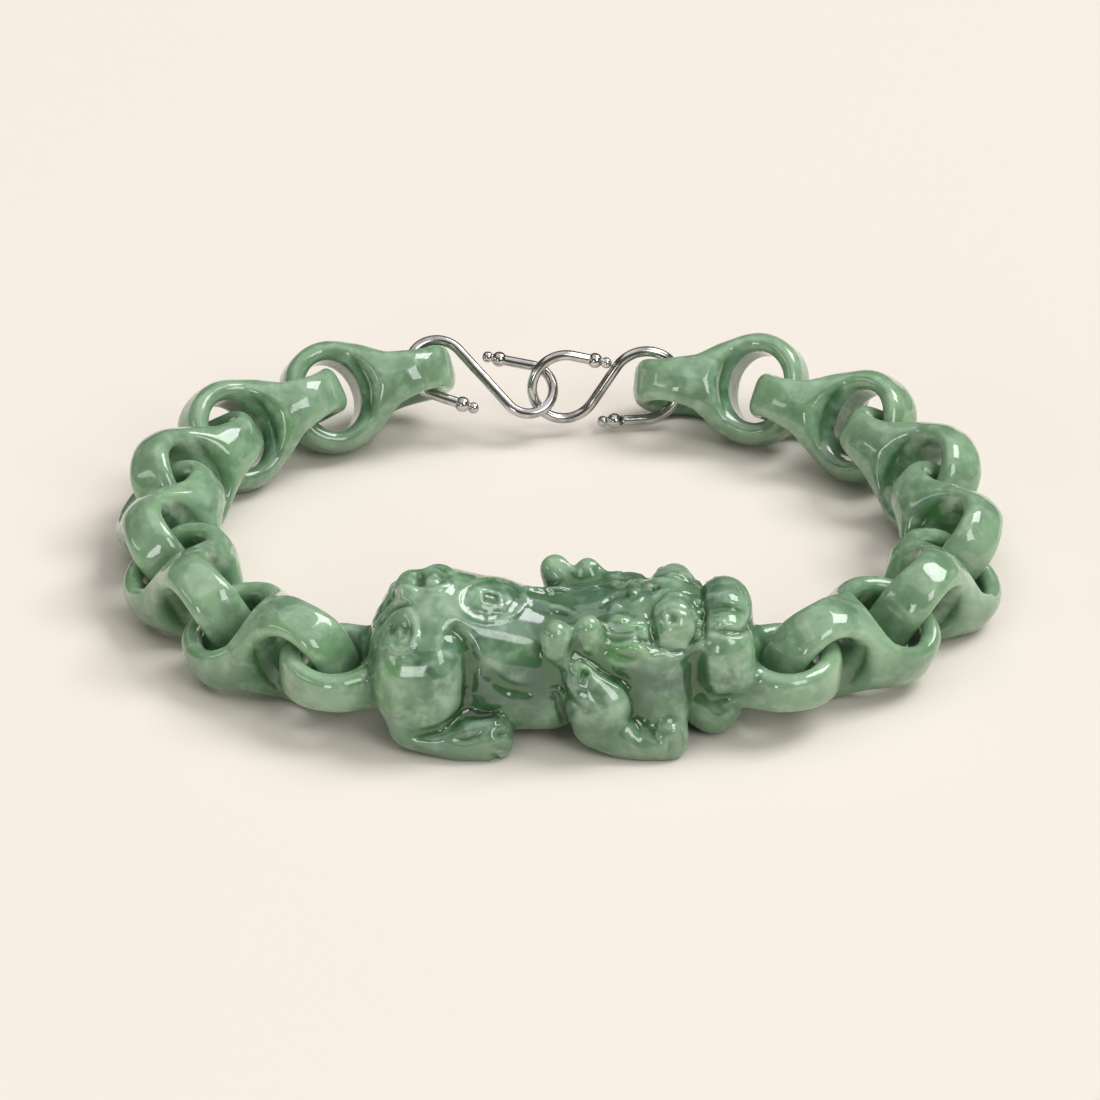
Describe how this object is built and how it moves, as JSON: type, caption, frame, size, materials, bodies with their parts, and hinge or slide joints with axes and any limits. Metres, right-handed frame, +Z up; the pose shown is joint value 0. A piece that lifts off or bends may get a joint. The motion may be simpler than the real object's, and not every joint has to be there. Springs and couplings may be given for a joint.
{
  "type": "jade pixiu chain bracelet",
  "caption": "Chain bracelet of interlocking carved jade links joined to a crouching winged pixiu with a coin on its back, closed by linked silver wire S-hooks.",
  "frame": {"origin": "middle of the bracelet's bounding box, on the surface it lies on", "axes": "+X along the bracelet's longest side, towards the pixiu's head end and the right-hand chain; +Y from the pixiu towards the clasp; +Z up"},
  "size_m": [0.0802, 0.0664, 0.0146],
  "materials": {
    "jade": "polished",
    "silver": "polished"
  },
  "bodies": {
    "root": {"pixiu": "jade", "left_link_1": "jade", "left_link_2": "jade", "left_link_3": "jade", "left_link_4": "jade", "left_link_5": "jade", "left_link_6": "jade", "right_link_1": "jade", "right_link_2": "jade", "right_link_3": "jade", "right_link_4": "jade", "right_link_5": "jade", "right_link_6": "jade", "left_hook": "silver", "right_hook": "silver"}
  },
  "joints": []
}
